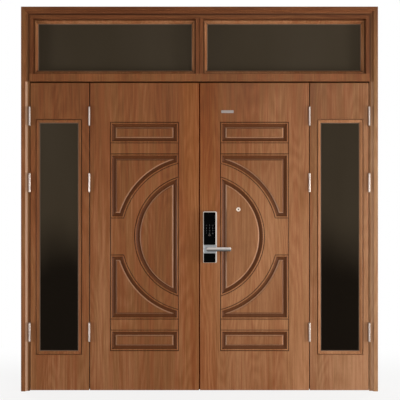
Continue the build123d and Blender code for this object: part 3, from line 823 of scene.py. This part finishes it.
# Sizes are a width and a height, corners a radius, and each layer an inset and a rise
BOLT_END_WIDTH = 0.0125
BOLT_END_CORNER = 0.003
BOLT_END_LAYERS = ((0.0, 0.0), (0.0, 0.0006), (0.0008, 0.0010), (0.0016, 0.0011))
SLOT_SIZE = (0.013, 0.110)
SLOT_CORNER = 0.006
SLOT_LAYERS = ((0.0, 0.0), (0.0, 0.0004), (0.0016, 0.0006), (0.0020, 0.00015))
SLIDE_SIZE = (0.008, 0.036)
SLIDE_CORNER = 0.003
SLIDE_LAYERS = ((0.0, 0.0), (0.0, 0.0010), (0.0010, 0.0018), (0.0022, 0.0019))

# Smallest share of a corner's radius that an inset leaves
LEAST_CORNER = 0.2


def rounded(mesh, seat, size, corner, layers, steps=5):
    """Stacked rounded rectangles on a seat, an origin and axes; a layer is an inset and a rise."""
    origin, across, up, out = seat
    rings = []
    for inset, rise in layers:
        ring = []
        half_width, half_height = size[0] / 2 - inset, size[1] / 2 - inset
        radius = max(corner - inset, corner * LEAST_CORNER)
        for quarter, (sx, sz) in enumerate(((1, 1), (-1, 1), (-1, -1), (1, -1))):
            for i in range(steps + 1):
                angle = (quarter + i / steps) * math.pi / 2
                px = sx * (half_width - radius) + radius * math.cos(angle)
                pz = sz * (half_height - radius) + radius * math.sin(angle)
                ring.append(mesh.verts.new(origin + across * px + up * pz + out * rise))
        rings.append(ring)
    bridge(mesh, rings)
    mesh.faces.new(rings[-1])


def plate_seat(box, z, way):
    """Origin and axes on an edge plate, facing across the meeting gap."""
    x = box[0].x if way < 0 else box[1].x
    y = (box[0].y + box[1].y) / 2
    return Vector((x, y, z)), INWARD, UP, ACROSS * way


def plate_screws(mesh, box, z, spread, way):
    """Two screws, above and below a height on an edge plate."""
    for rise in (-spread, spread):
        origin, _, up, out = plate_seat(box, z + rise, way)
        screw(mesh, origin, out, up)


edge_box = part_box("lock_edge_plate")
strike_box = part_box("strike_plate")
bolt_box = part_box("bolt_plates")
edge_z = (edge_box[0].z + edge_box[1].z) / 2
bolt_heights = (bolt_box[0].z + BOLT_PLATE / 2, bolt_box[1].z - BOLT_PLATE / 2)

bolt_ends = bmesh.new()
for rise, tall in BOLT_ENDS:
    seat = plate_seat(edge_box, edge_z + rise, -1)
    rounded(bolt_ends, seat, (BOLT_END_WIDTH, tall), BOLT_END_CORNER, BOLT_END_LAYERS)
solid("lock_bolt_ends", bolt_ends, "right_main_leaf", viewer_metal)

edge_screws = bmesh.new()
plate_screws(edge_screws, edge_box, edge_z, EDGE_SCREW_RISE, -1)
solid("lock_edge_screws", edge_screws, "right_main_leaf", screw_metal)

left_screws = bmesh.new()
plate_screws(left_screws, strike_box, edge_z, EDGE_SCREW_RISE, 1)
for z in bolt_heights:
    plate_screws(left_screws, bolt_box, z, BOLT_SCREW_RISE, 1)
solid("left_edge_screws", left_screws, "left_main_leaf", screw_metal)

# The slots are black patches on the plates, painted shade for their hollows
slots = bmesh.new()
slides = bmesh.new()
for z in bolt_heights:
    rounded(slots, plate_seat(bolt_box, z, 1), SLOT_SIZE, SLOT_CORNER, SLOT_LAYERS)
    rounded(slides, plate_seat(bolt_box, z + SLIDE_RISE, 1), SLIDE_SIZE, SLIDE_CORNER, SLIDE_LAYERS)
solid("bolt_slot_shades", slots, "left_main_leaf", seal_rubber)
solid("bolt_slides", slides, "left_main_leaf", fitting_metal)


# Keypad marks on the lock's face, measured down from its top

INK = 0.00025
KEY_ROWS = ("123", "456", "789", "*0#")
KEY_DROP = 0.0920
KEY_ACROSS = 0.0225
KEY_DOWN = 0.0184
KEY_HEIGHT = 0.0115
MARK_DROP = 0.1635
MARK_RIDGES = (0.0018, 0.0038, 0.0058, 0.0078)
MARK_STRETCH = 1.15
RIDGE_HALF = 0.0004

# Start and end in degrees and steps of the inner ridge, and how they change with each ridge further out
RIDGE_ARC = (-40, 220, 14)
RIDGE_CHANGE = (14, -10, 4)

face_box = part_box("lock_face")
face_x = (face_box[0].x + face_box[1].x) / 2


def glyph(text, x, z):
    """The mesh of one printed key."""
    curve = bpy.data.curves.new("key", "FONT")
    curve.body = text
    curve.size = KEY_HEIGHT
    curve.align_x = "CENTER"
    curve.align_y = "CENTER"
    curve.extrude = INK
    curve.resolution_u = 3
    holder = bpy.data.objects.new("key_text", curve)
    scene.collection.objects.link(holder)
    bpy.context.view_layer.update()
    data = bpy.data.meshes.new_from_object(holder.evaluated_get(bpy.context.evaluated_depsgraph_get()))
    bpy.data.objects.remove(holder)
    data.transform(Matrix.Translation((x, face_box[0].y, z)) @ Matrix.Rotation(math.pi / 2, 4, "X"))
    return data


def ridge(mesh, centre, radius, start, end, steps):
    """A raised arc of ink round a centre, from one angle to another in degrees."""
    section = ((-RIDGE_HALF, 0.0), (-RIDGE_HALF, -INK), (RIDGE_HALF, -INK), (RIDGE_HALF, 0.0))
    rings = []
    for i in range(steps + 1):
        angle = math.radians(start + (end - start) * i / steps)
        way = Vector((math.cos(angle), 0.0, MARK_STRETCH * math.sin(angle)))
        rings.append([mesh.verts.new(centre + way * (radius + wide) + INWARD * y) for wide, y in section])
    bridge(mesh, rings)
    mesh.faces.new(rings[0])
    mesh.faces.new(rings[-1][::-1])


digits = bmesh.new()
for row, keys in enumerate(KEY_ROWS):
    for column, key in enumerate(keys):
        key_z = face_box[1].z - KEY_DROP - row * KEY_DOWN
        data = glyph(key, face_x + (column - 1) * KEY_ACROSS, key_z)
        digits.from_mesh(data)
        bpy.data.meshes.remove(data)
piece("keypad_digits", digits, "right_main_leaf", key_ink)

mark = bmesh.new()
mark_centre = Vector((face_x, face_box[0].y, face_box[1].z - MARK_DROP))
for i, radius in enumerate(MARK_RIDGES):
    start, end, steps = [first + change * i for first, change in zip(RIDGE_ARC, RIDGE_CHANGE)]
    ridge(mark, mark_centre, radius, start, end, steps)
solid("fingerprint_mark", mark, "right_main_leaf", print_ink)


# Battery cover and thumb turn on the inside unit of the lock, measured down from its top

COVER_DROP = 0.080
COVER_SIZE = (0.078, 0.126)
COVER_CORNER = 0.008
COVER_LAYERS = ((0.0, 0.0), (0.0, 0.0010), (0.0010, 0.0020), (0.0030, 0.0023))
TURN_DROP = 0.175
TURN_SIZE = (0.040, 0.040)
TURN_CORNER = 0.0199
TURN_LAYERS = ((0.0, 0.0), (0.0, 0.0025), (0.0012, 0.0038), (0.004, 0.0042))
TURN_STEPS = 9
GRIP_RISE = 0.0040
GRIP_SIZE = (0.011, 0.036)
GRIP_CORNER = 0.0050
GRIP_LAYERS = ((0.0, 0.0), (0.0004, 0.0080), (0.0014, 0.0105), (0.0030, 0.0112))

case_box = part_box("lock_inner_case")
case_top = Vector(((case_box[0].x + case_box[1].x) / 2, case_box[1].y, case_box[1].z))


def case_seat(drop, rise=0.0):
    """Origin and axes on the inside unit's face, or a little out from it."""
    return case_top - UP * drop + INWARD * rise, ACROSS, UP, INWARD


cover = bmesh.new()
rounded(cover, case_seat(COVER_DROP), COVER_SIZE, COVER_CORNER, COVER_LAYERS)
solid("battery_cover", cover, "right_main_leaf", black_gloss)

turn = bmesh.new()
rounded(turn, case_seat(TURN_DROP), TURN_SIZE, TURN_CORNER, TURN_LAYERS, TURN_STEPS)
rounded(turn, case_seat(TURN_DROP, GRIP_RISE), GRIP_SIZE, GRIP_CORNER, GRIP_LAYERS)
solid("thumb_turn", turn, "right_main_leaf", lever_metal)


# Floor, white where it is seen, with the object's shadow kept near it

FLOOR_X = (-14.0, 16.0)
FLOOR_Y = (-14.0, 14.0)
FLOOR_PALE = ((0.80, 0.80, 0.79), (0.86, 0.86, 0.85))
SHADOW_REACH = (0.10, 1.2)
SHADOW_WHITE = 0.82


def seen_rays(tree):
    """1 for rays from the camera, in reflections and through glass."""
    path = tree.nodes.new("ShaderNodeLightPath")
    seen = path.outputs["Is Camera Ray"]
    for kind in ("Is Glossy Ray", "Is Transmission Ray"):
        either = tree.nodes.new("ShaderNodeMath")
        either.operation = "MAXIMUM"
        tree.links.new(seen, either.inputs[0])
        tree.links.new(path.outputs[kind], either.inputs[1])
        seen = either.outputs[0]
    return seen


def floor_material():
    t = Tree("floor_pale")
    speck = t.noise(t.stretch((2.0, 2.0, 2.0)), 3.0, 0.5)
    t.set(Base_Color=t.mix(speck, *FLOOR_PALE), Roughness=0.9)
    x, y, _ = t.axes()
    aside = t.math("SUBTRACT", t.math("ABSOLUTE", t.math("SUBTRACT", x, middle)), middle)
    away = t.math("MAXIMUM", aside, t.math("ABSOLUTE", y))
    white_share = t.remap(away, *SHADOW_REACH, SHADOW_WHITE, 1.0, smooth=True)
    white = t.tree.nodes.new("ShaderNodeEmission")
    white.inputs["Color"].default_value = (*WHITE, 1.0)
    mixed = t.tree.nodes.new("ShaderNodeMixShader")
    t.link(t.math("MULTIPLY", seen_rays(t.tree), white_share), mixed.inputs[0])
    t.link(t.shader.outputs[0], mixed.inputs[1])
    t.link(white.outputs[0], mixed.inputs[2])
    t.link(mixed.outputs[0], t.out.inputs["Surface"])
    return t.material


floor_mesh = bpy.data.meshes.new("floor")
floor_corners = [(FLOOR_X[i], FLOOR_Y[j], 0.0) for i, j in ((0, 0), (1, 0), (1, 1), (0, 1))]
floor_mesh.from_pydata(floor_corners, [], [(0, 1, 2, 3)])
floor_mesh.materials.append(floor_material())
floor = bpy.data.objects.new("floor", floor_mesh)
scene.collection.objects.link(floor)


# World and lamps

FILL_COLOUR = (1.0, 0.985, 0.96, 1.0)
FILL_STRENGTH = 0.23
LAMP_WARM = (1.0, 0.98, 0.95)
LAMP_MILD = (1.0, 0.98, 0.96)
LAMP_PALE = (1.0, 0.99, 0.98)

# Each lamp's place, the point that it faces, its width and height, its watts and its colour
LAMPS = {
    "key": ((5.6, -4.6, 0.6), (1.4, 0.0, 0.7), (2.2, 1.4), 150.0, LAMP_WARM),
    "front": ((2.6, -4.5, 2.92), (1.4, 0.0, 0.7), (1.6, 0.3), 42.0, LAMP_WARM),
    "right_rim": ((6.2, -1.5, 0.6), (1.2, 0.0, 0.8), (0.8, 1.4), 185.0, LAMP_PALE),
    "left_rim": ((-3.6, -1.4, 0.6), (1.3, 0.0, 0.8), (0.7, 1.4), 135.0, LAMP_MILD),
    "back_left": ((-3.6, 4.6, 1.4), (1.2, 0.0, 1.1), (1.8, 1.6), 190.0, LAMP_WARM),
    "back_right": ((6.4, 4.2, 1.8), (1.3, 0.0, 1.2), (1.6, 1.6), 120.0, LAMP_MILD),
}

world = bpy.data.worlds.new("studio")
scene.world = world
world.use_nodes = True
world_tree = world.node_tree
world_tree.nodes.clear()
fill = world_tree.nodes.new("ShaderNodeBackground")
fill.inputs["Color"].default_value = FILL_COLOUR
fill.inputs["Strength"].default_value = FILL_STRENGTH
seen_white = world_tree.nodes.new("ShaderNodeBackground")
seen_white.inputs["Color"].default_value = (*WHITE, 1.0)
world_mix = world_tree.nodes.new("ShaderNodeMixShader")
world_out = world_tree.nodes.new("ShaderNodeOutputWorld")
world_tree.links.new(seen_rays(world_tree), world_mix.inputs[0])
world_tree.links.new(fill.outputs[0], world_mix.inputs[1])
world_tree.links.new(seen_white.outputs[0], world_mix.inputs[2])
world_tree.links.new(world_mix.outputs[0], world_out.inputs["Surface"])

for name, (place, target, size, watts, colour) in LAMPS.items():
    lamp = bpy.data.lights.new(name, "AREA")
    lamp.shape = "RECTANGLE"
    lamp.size, lamp.size_y = size
    lamp.energy = watts
    lamp.color = colour
    light = bpy.data.objects.new(name, lamp)
    light.location = place
    light.rotation_euler = (Vector(target) - Vector(place)).to_track_quat("-Z", "Y").to_euler()
    scene.collection.objects.link(light)


# Camera, straight on; the view's centre is in X and Z, and its width is that seen at the frame's front

CAMERA_DISTANCE = 4.2
VIEW_CENTRE = (1.2535, 1.3405)
VIEW_WIDTH = 2.8011
SENSOR = 36.0

camera_data = bpy.data.cameras.new("camera")
camera_data.sensor_width = SENSOR
camera_data.lens = SENSOR * CAMERA_DISTANCE / VIEW_WIDTH
camera = bpy.data.objects.new("camera", camera_data)
camera.location = (VIEW_CENTRE[0], frame_front - CAMERA_DISTANCE, VIEW_CENTRE[1])
camera.rotation_euler = Euler((math.radians(90.0), 0.0, 0.0))
scene.collection.objects.link(camera)
scene.camera = camera

scene.view_settings.view_transform = "Standard"
